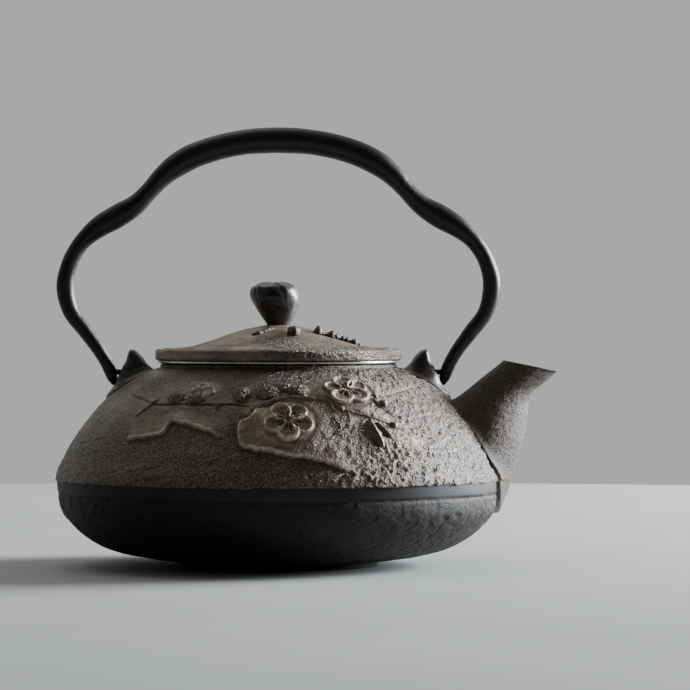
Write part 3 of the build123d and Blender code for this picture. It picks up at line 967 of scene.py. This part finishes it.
def ball(centre, radius, squeeze, seed):
    """A lumpy bud."""
    turn = full_turn(48)
    rise = np.linspace(-1.45, 1.45, 24)[:, None]
    way = joined(np.cos(rise) * np.cos(turn), np.cos(rise) * np.sin(turn), np.sin(rise))
    folds = 0.07 * np.abs(np.sin(1.5 * turn + rise)) + 0.07 * noise(way, 0.7, seed)
    return capped(centre + way * (radius, radius, radius * squeeze) * (1 - folds)[..., None])


def make_branches():
    """Twigs, thorns, buds and leaves of the cast picture."""
    clay = Clay()
    twigs = [
        (LONG_BRANCH, 0.2, 0.42, 101, 160), (STEM, 1.1, 0.16, 102, 170),
        (HIGH_TWIG, 0.42, 0.16, 103, 80), (LEFT_TWIG, 0.16, 0.5, 104, 40),
    ]
    for line, thick, thin, seed, count in twigs:
        clay.add(*twig(shell, line, thick, thin, seed, count))
    thorns = [
        (17.3, 53.2, -1.3, 3.6, 0.6), (22.3, 50.6, -1.5, 3.0, 0.6), (-2.8, 53.0, 1.9, 2.6, 0.5),
        (36.2, 46.0, 0.4, 2.6, 0.7), (30.0, 48.6, 0.9, 2.4, 0.5), (-19.6, 52.9, -1.2, 2.2, 0.5),
        (8.2, 54.3, -1.2, 2.4, 0.5), (33.4, 53.9, -1.1, 3.4, 0.6),
    ]
    add_thorns(clay, thorns, 120)
    buds = [
        (36.3, 52.6, 1.5, 1.2), (36.2, 46.1, 1.3, 1.1), (34.9, 54.9, 1.0, 0.9), (-18.3, 51.9, 0.9, 0.9),
        (-43.6, 52.4, 0.9, 0.7), (-6.6, 51.0, 1.1, 0.8), (20.6, 51.2, 1.3, 0.9),
    ]
    add_buds(clay, shell, buds)
    leaves = [(29.2, 43.7, 10.5, 4.6, -1.36, 1.3), (32.2, 44.9, 7.0, 1.7, -1.0, 0.8)]
    for degrees, z, length, width, heading, height in leaves:
        clay.add(*patch(shell, degrees, z, *leaf(length, width, heading, height), rows=16, columns=64))
    clay.add(*twig(shell, [(29.0, 48.2), (29.0, 46.0)], 0.45, 0.35, 140))
    make_clay("pot_branches", clay, "pot", [], RELIEF)


def make_back_branches():
    """The simpler branch on the side that faces away."""
    clay = Clay()
    clay.add(*twig(shell, BACK_BRANCH, 1.2, 0.4, 201, count=150))
    clay.add(*twig(shell, [(196.0, 52.8), (200.0, 55.0), (204.0, 56.2)], 0.6, 0.4, 202))
    thorns = [(162.0, 53.2, 1.2, 3.0, 0.5), (178.0, 54.2, -1.2, 3.0, 0.5), (212.0, 49.0, 0.6, 3.0, 0.5)]
    add_thorns(clay, thorns, 210)
    add_buds(clay, shell, [(166.0, 56.0, 2.2, 1.4), (219.5, 46.0, 1.6, 1.2)])
    make_clay("pot_back_branches", clay, "pot", [], RELIEF)


# ---- handle ----

# across, height, thickness and width of the rod, from the middle of the grip to its end
HANDLE_STATIONS = [
    (0.0, 135.9, 8.3, 8.6), (12.0, 135.1, 8.1, 8.4), (22.5, 132.6, 8.0, 8.2), (31.0, 128.9, 7.9, 8.0),
    (36.8, 124.5, 6.7, 7.6), (41.2, 119.7, 5.9, 7.2), (46.0, 115.0, 6.6, 7.1),
    (51.5, 111.6, 7.6, 7.1), (57.2, 108.3, 6.9, 6.8), (62.3, 103.9, 5.5, 6.2), (66.2, 97.9, 5.2, 5.8),
    (68.2, 89.0, 5.7, 5.6), (66.6, 81.6, 5.2, 5.3), (61.5, 74.4, 4.7, 5.0), (57.1, 68.4, 4.3, 4.6),
    (54.8, 64.3, 4.1, 4.3), (53.7, 61.6, 3.9, 3.9), (53.1, 59.8, 3.3, 3.3), (52.7, 58.6, 2.2, 2.4),
]
JOURNAL_R = 1.5
JOURNAL_END_X = 43.2


def make_handle():
    """The bail: one forged rod with rounded ends, and the pins that turn in the lugs."""
    left = [(-x, z, thick, wide) for x, z, thick, wide in HANDLE_STATIONS[:0:-1]]
    table = smooth_path(left + HANDLE_STATIONS, 760)
    heading = np.gradient(table[:, :2], axis=0)
    heading /= np.linalg.norm(heading, axis=1, keepdims=True)
    turn = full_turn(64)
    across = table[:, 2:3] / 2 * np.cos(turn)
    depth = table[:, 3:4] / 2 * np.sin(turn)
    rings = joined(
        table[:, 0:1] - across * heading[:, 1:2], depth, table[:, 1:2] + across * heading[:, 0:1]
    )
    middle = joined(table[:, 0], 0.0, table[:, 1])
    out = (rings - middle[:, None]) / np.linalg.norm(rings - middle[:, None], axis=-1, keepdims=True)
    rings = rings + out * (0.09 * noise(rings, 7.0, 81) + 0.02 * noise(rings, 1.2, 82))[..., None]
    start_cap = rounded_end(rings[0], middle[0], -heading[0])
    end_cap = rounded_end(rings[-1], middle[-1], heading[-1])
    clay = Clay()
    clay.add(*capped(np.concatenate([start_cap[::-1], rings, end_cap])))
    for side in (-1, 1):
        reach = np.array([53.7, 52.2, 51.6, 49.2, 48.8, 47.0, JOURNAL_END_X + 0.4, JOURNAL_END_X])
        radius = np.array([1.6, 1.2, 0.85, 0.85, JOURNAL_R, JOURNAL_R, JOURNAL_R, JOURNAL_R - 0.6])
        circle = joined(0.0, np.cos(turn), np.sin(turn))
        centre = joined(side * reach, 0.0, HINGE_Z)
        clay.add(*capped(centre[:, None] + radius[:, None, None] * circle))
    make_clay("bail_handle", clay, "handle", ["handle"], BLACK)


def rounded_end(ring, centre, heading):
    """Rings that close the end of a rod with a dome."""
    reach = np.linalg.norm(ring - centre, axis=1).mean()
    forward = np.array([heading[0], 0, heading[1]])
    rings = []
    for t in np.radians(np.linspace(12, 84, 8)):
        rings.append(centre + (ring - centre) * math.cos(t) + forward * reach * 0.9 * math.sin(t))
    return np.array(rings)


# ---- lid and knob ----

lid_r = lid_high[0]
lid_top = lid_high[2]
lid_under = rim_high[2] + 0.05
lid_rim_top = lid_under + 3.55
guide_low = lid_low[2]
LID_DOME_R = 29.0
LID_STEP_R = 36.4
GUIDE_OUTER_R = 30.2
GUIDE_INNER_R = 27.8
STUD_HOLE_R = 1.8

lid_dome = Turned([
    (lid_r - 1.0, lid_rim_top), (LID_DOME_R, lid_rim_top + 0.2), (23.8, 71.1), (18.3, 73.0), (11.0, 75.4),
    (4.2, lid_top),
])


def make_lid():
    """The domed lid with its rim, the ring that drops into the strainer and the stud's hole."""
    columns = 720
    u = full_turn(columns)
    angle = u - 0.3 * np.sin(u)
    along = np.linspace(0, lid_dome.length, 84)
    grid_along, grid_angle = np.meshgrid(along, angle, indexing="ij")
    plain = lid_dome.place(grid_angle, grid_along)
    rough = ramp(noise(plain, 13.0, 91) + 0.5 * ramp(plain[..., 0], -14.0, 20.0), -0.1, 0.6)
    edge = ramp(grid_along, 0.0, 1.5)
    edge = edge * ramp(grid_along, lid_dome.length, lid_dome.length - 3)
    lift = 0.15 * noise(plain, 11.0, 92) + 0.16 * layered(plain, 1.5, 93, layers=2) * rough
    step_line = LID_STEP_R + 0.6 * layered(plain, 5.0, 94)
    radius = np.hypot(plain[..., 0], plain[..., 1])
    crust = ramp(radius, step_line + 0.3, step_line - 0.3) * ramp(radius, 22.0, 33.0)
    lift = lift * edge + crust * (0.5 + 0.25 * noise(plain, 2.0, 97))
    lift = lift - 0.25 * bump(radius, step_line + 0.6, 0.5)
    outer = lid_dome.place(grid_angle, grid_along, lift)
    rim = arc((lid_r - 0.9, lid_rim_top - 0.9), 0.9, 0, 78, 5)[::-1]
    band = [(lid_r, z) for z in np.linspace(lid_rim_top - 0.9, lid_under + 0.7, 9)]
    side = band + arc((lid_r - 0.7, lid_under + 0.7), 0.7, 0, -90, 5)[1:]
    below = [(GUIDE_OUTER_R, lid_under), (GUIDE_OUTER_R, guide_low + 0.3), (29.9, guide_low)]
    below += [(28.1, guide_low), (GUIDE_INNER_R, guide_low + 0.3), (GUIDE_INNER_R, lid_under + 1.0)]
    hollow = [(23.4, 68.4), (18.3, 70.3), (11.0, 72.7)]
    hollow += [(5.2, lid_top - 2.7), (STUD_HOLE_R, lid_top - 2.7), (STUD_HOLE_R, lid_top)]
    profile = (rim[:-1] + side + below + hollow)[::-1]
    radii, heights = (np.array(column)[:, None] for column in zip(*profile))
    plain_rim = around(radii, angle, heights)
    flake_line = lid_under + 1.1 + 0.8 * layered(plain_rim * (1, 1, 0), 3.0, 98)
    flaked = ramp(heights, flake_line - 0.15, flake_line + 0.15) * (radii > lid_r - 0.5)
    flaked = flaked * ramp(np.sin(angle), -0.35, 0.15) * (np.cos(angle) > -0.2)
    radii = radii + flaked * (0.22 + 0.16 * noise(plain_rim, 1.3, 99))
    points = np.concatenate([outer, around(radii, angle, heights)])
    layers = {"halo": np.concatenate([1 - 0.85 * rough, 0.85 - 0.75 * flaked])}
    make_piece("lid_top", *looped(points), "lid", ["lid"], BROWN, layers)


def make_lid_relief():
    """The bud, knots and broken branch cast on the lid."""
    clay = Clay()
    clay.add(*ball(lid_dome.place(math.radians(19.0), lid_dome.along_at(74.1), 0.7), 2.25, 0.9, 5))
    clay.add(*patch(lid_dome, -24.0, 74.2, *dome(1.3, 1.0, 2, 6), rows=14, columns=48))
    clay.add(*patch(lid_dome, -14.0, 75.6, *dome(1.1, 0.8, 2, 7), rows=14, columns=48))
    clay.add(*twig(lid_dome, [(-30.0, 73.6), (-22.0, 74.4), (-12.0, 75.5)], 0.45, 0.6, 151, count=30))
    broken = [(54.0, 74.5), (66.0, 73.6), (73.0, 72.4), (78.5, 71.1), (83.0, 70.0)]
    clay.add(*twig(lid_dome, broken, 1.7, 1.1, 152, count=70, knobbly=0.35))
    clay.add(*patch(lid_dome, 70.0, 73.0, *leaf(9.5, 5.0, -0.9, 1.7), rows=16, columns=72))
    make_clay("lid_relief", clay, "lid", [], BROWN)


KNOB_OUTLINE = [
    (3.6, 0.0), (4.2, 1.0), (5.8, 3.6), (7.4, 7.0), (7.8, 9.8), (7.1, 11.9), (4.9, 13.2), (0.5, 13.5),
]


def make_knob():
    """A plum bud of five overlapping petals that leans a little away from the spout."""
    columns = 240
    outline = smooth_path(KNOB_OUTLINE, 130)
    turn = full_turn(columns)
    radius = outline[:, 0:1] + 0 * turn
    height = outline[:, 1:2] + 0 * turn
    travel = np.linspace(0, 1, len(outline))[:, None]
    petals = (turn / math.tau * 5 + 0.33 * travel**2 + 0.53) % 1.0
    overlap = (1 - petals) ** 2.2 - 0.25
    fold = -0.3 * np.exp(-((petals * (1 - petals) * 4 / 0.25) ** 2))
    amount = ramp(travel, 0.3, 0.75)
    push = amount * (0.42 * overlap + fold) * ramp(radius, 0.3, 3.5)
    points = around(radius, turn, height)
    lumps = 0.22 * noise(points, 4.0, 95) + 0.05 * noise(points, 1.1, 96)
    slope = np.gradient(outline, axis=0)
    slope /= np.linalg.norm(slope, axis=1, keepdims=True)
    lift = (push + lumps * ramp(travel, 0.03, 0.15)) * ramp(travel, 0.0, 0.08)
    radius = radius + lift * slope[:, 1:2]
    height = height - lift * slope[:, 0:1]
    rings = around(radius, turn, knob_low[2] + height)
    rings[..., 0] += -1.7 * ramp(height, 0.5, 13.5)
    make_piece("bud_knob", *capped(rings), "lid", ["lid_knob"], BRONZE)


# ---- tea strainer ----


SHEET = 0.5
WALL_HOLE_R = 0.5
WALL_COLUMNS = 112
FLOOR_HOLE_R = 0.42
FLOOR_CELL = 1.4
HOLED_FLOOR_R = 28.0


def make_perforated(name, node, cells, place, hole):
    """Steel sheet with a round hole in most cells.  A cell is (u, v, width, has_hole)."""
    clay = Clay()
    corners = [(-1, -1), (0, -1), (1, -1), (1, 0), (1, 1), (0, 1), (-1, 1), (-1, 0)]
    circle = [(math.cos(t), math.sin(t)) for t in np.radians(np.arange(8) * 45 - 135)]
    for u, v, width, has_hole in cells:
        edge = [(u + a * width / 2, v + b * width / 2) for a, b in corners]
        inner = [(u + a * hole, v + b * hole) for a, b in circle]
        outline = edge + inner if has_hole else edge
        points = [place(a, b, depth) for depth in (0, SHEET) for a, b in outline]
        faces = []
        if has_hole:
            for k in range(8):
                n = (k + 1) % 8
                faces += [(k, n, 8 + n, 8 + k), (16 + n, 16 + k, 24 + k, 24 + n)]
                faces += [(8 + k, 8 + n, 24 + n, 24 + k)]
        else:
            faces += [tuple(range(8)), tuple(range(15, 7, -1))]
        clay.add(points, faces)
    piece = make_clay(name, clay, "infuser", [node], STEEL)
    # join the points that neighbouring cells share
    work = bmesh.new()
    work.from_mesh(piece.data)
    bmesh.ops.remove_doubles(work, verts=work.verts, dist=1e-6)
    work.to_mesh(piece.data)
    work.free()
    piece.data.shade_flat()


def make_strainer_wall():
    """The perforated wall, with plain bands at its two ends."""
    outer_r = wall_high[0]
    width = math.tau * outer_r / WALL_COLUMNS
    rows = int((wall_high[2] - wall_low[2]) / width)
    start = (wall_low[2] + wall_high[2] - rows * width) / 2 + width / 2
    cells = []
    for row in range(rows):
        holed = 2 <= row < rows - 3
        z = start + row * width
        shift = 0.5 * (row % 2)
        cells += [((column + shift) * width, z, width, holed) for column in range(WALL_COLUMNS)]

    def place(u, v, depth):
        angle = u / outer_r
        return ((outer_r - depth) * math.sin(angle), -(outer_r - depth) * math.cos(angle), v)

    make_perforated("strainer_wall", "infuser_wall", cells, place, WALL_HOLE_R)


def make_strainer_floor():
    """The perforated floor, trimmed in steps under the base ring."""
    width = FLOOR_CELL
    reach = int(floor_high[0] / width) + 1
    cells = []
    for row in range(-reach, reach + 1):
        for column in range(-reach, reach + 1):
            u = (column + 0.5 * (row % 2)) * width
            v = row * width
            if math.hypot(abs(u) + width / 2, abs(v) + width / 2) < floor_high[0] - 0.1:
                cells.append((u, v, width, math.hypot(u, v) < HOLED_FLOOR_R))

    def place(u, v, depth):
        return (u, v, floor_high[2] - depth)

    make_perforated("strainer_floor", "infuser_floor", cells, place, FLOOR_HOLE_R)


def make_steel_ring(name, profile, columns, node):
    """A turned ring of the strainer from its closed (radius, height) outline."""
    rings = turned_rings(profile, full_turn(columns))
    make_piece(name, *looped(rings), "infuser", [node], STEEL)


def make_strainer_rim():
    """The pressed rim: a flange with a rolled edge, and the sleeve below it."""
    flange_r = rim_high[0]
    top = rim_high[2]
    low = top - 0.9
    sleeve_outer = 31.9
    sleeve_inner = 31.3
    profile = arc((flange_r - 0.45, low + 0.45), 0.45, -90, 90, 9)
    profile += [(sleeve_outer + 1.2, top)]
    profile += arc((sleeve_inner + 0.8, top - 0.8), 0.8, 90, 180, 6)
    profile += [(sleeve_inner, rim_low[2] + 0.2), (sleeve_inner + 0.2, rim_low[2])]
    profile += [(sleeve_outer, rim_low[2]), (sleeve_outer, low - 0.6), (sleeve_outer + 0.6, low)]
    make_steel_ring("strainer_rim", profile, 240, "infuser_rim")


def make_base_ring():
    """The rolled ring that holds the floor to the wall."""
    outer = ring_high[0]
    low, high = ring_low[2], ring_high[2]
    inner = 28.9
    profile = arc((outer - 0.5, low + 0.5), 0.5, -90, 0, 6)
    beside_wall = wall_high[0] + 0.02
    under_floor = floor_low[2] - 0.02
    profile += [(outer, high - 0.2), (outer - 0.2, high), (beside_wall, high)]
    profile += [(beside_wall, under_floor), (inner, under_floor), (inner, low)]
    make_steel_ring("strainer_base_ring", profile, 200, "infuser_base_ring")


# ---- stage ----


STAGE_R = 610.0
STAGE_HOLE_R = 0.5


def make_stage():
    """A plain pale floor."""
    finish = Finish("pale_floor", Specular_IOR_Level=0.25)
    cloud = finish.noise(160.0, detail=2.0)
    finish.set("Base Color", finish.tones(cloud, 0.3, 0.7, (0.36, 0.365, 0.36), (0.39, 0.395, 0.39)))
    finish.set("Roughness", finish.spread(cloud, 0.3, 0.7, 0.6, 0.7))
    rings = turned_rings([(STAGE_HOLE_R, 0.0), (STAGE_R, 0.0)], full_turn(128))
    mesh = new_mesh("floor", rings.reshape(-1, 3), ring_faces(2, 128))
    mesh.materials.append(finish.material)
    floor = add_object("floor", mesh)


def add_softbox(name, location, target, size, power, tint):
    """A rectangular lamp; places and sizes are in metres and the power is in watts."""
    light = bpy.data.lights.new(name, "AREA")
    light.shape = "RECTANGLE"
    light.size, light.size_y = size
    light.energy = power
    light.color = tint
    lamp = add_object(name, light)
    lamp.location = location
    aim = Vector(target) - Vector(location)
    lamp.rotation_mode = "QUATERNION"
    lamp.rotation_quaternion = aim.to_track_quat("-Z", "Y")


def add_lights():
    """A grey surround, darker on the camera's side, a window beyond the spout and a skylight."""
    world = bpy.data.worlds.new("studio")
    nodes = Nodes(world)
    away = nodes.node("SeparateXYZ", "Y", Vector=nodes.node("TexCoord", "Generated"))
    tone = nodes.tones(away, -0.7, 0.6, (0.07, 0.069, 0.067), (0.475, 0.492, 0.48))
    nodes.link(tone, nodes.tree.nodes["Background"], "Color")
    bpy.context.scene.world = world
    pot = (0.0, 0.0, 0.05)
    add_softbox("window", (1.15, 0.55, 0.4), pot, (0.7, 0.6), 98.0, (0.9, 0.95, 1.0))
    add_softbox("skylight", (-0.35, 0.5, 1.2), pot, (1.0, 0.7), 3.0, (1.0, 0.985, 0.96))


CAMERA_LENS = 207.4
CAMERA_PLACE = (0.0213, -1.272, 0.0813)
CAMERA_DOWN_DEGREES = 0.49


def add_camera():
    """The photograph's view: nearly level, from far in front, a little to the spout's side."""
    camera = bpy.data.cameras.new("camera")
    camera.sensor_width = 36.0
    camera.lens = CAMERA_LENS
    camera.clip_end = 20.0
    rig = add_object("camera", camera)
    rig.location = CAMERA_PLACE
    rig.rotation_euler = (math.radians(90 - CAMERA_DOWN_DEGREES), 0, 0)
    bpy.context.scene.camera = rig


# ---- build ----

for node, (_, material) in (("enamel_lining", ENAMEL), ("knob_washer", STEEL), ("knob_stud", STEEL)):
    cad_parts[node].data.materials.clear()
    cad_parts[node].data.materials.append(material)

pot_shell = make_shell()
make_bowl()
make_spout()
cut(pot_shell, *spout_channel())
for name, side in (("lug_far", -1), ("lug_spout_side", 1)):
    make_lug(name, side)
    cut(pot_shell, *hinge_hole(side, HOLE_FLAT_END))
for number, (name, measures) in enumerate(BLOSSOMS.items()):
    make_blossom(name, *measures, 300 + number)
make_half_open()
make_branches()
make_back_branches()
make_handle()
make_lid()
make_lid_relief()
make_knob()
make_strainer_rim()
make_strainer_wall()
make_strainer_floor()
make_base_ring()
make_stage()
add_lights()
add_camera()
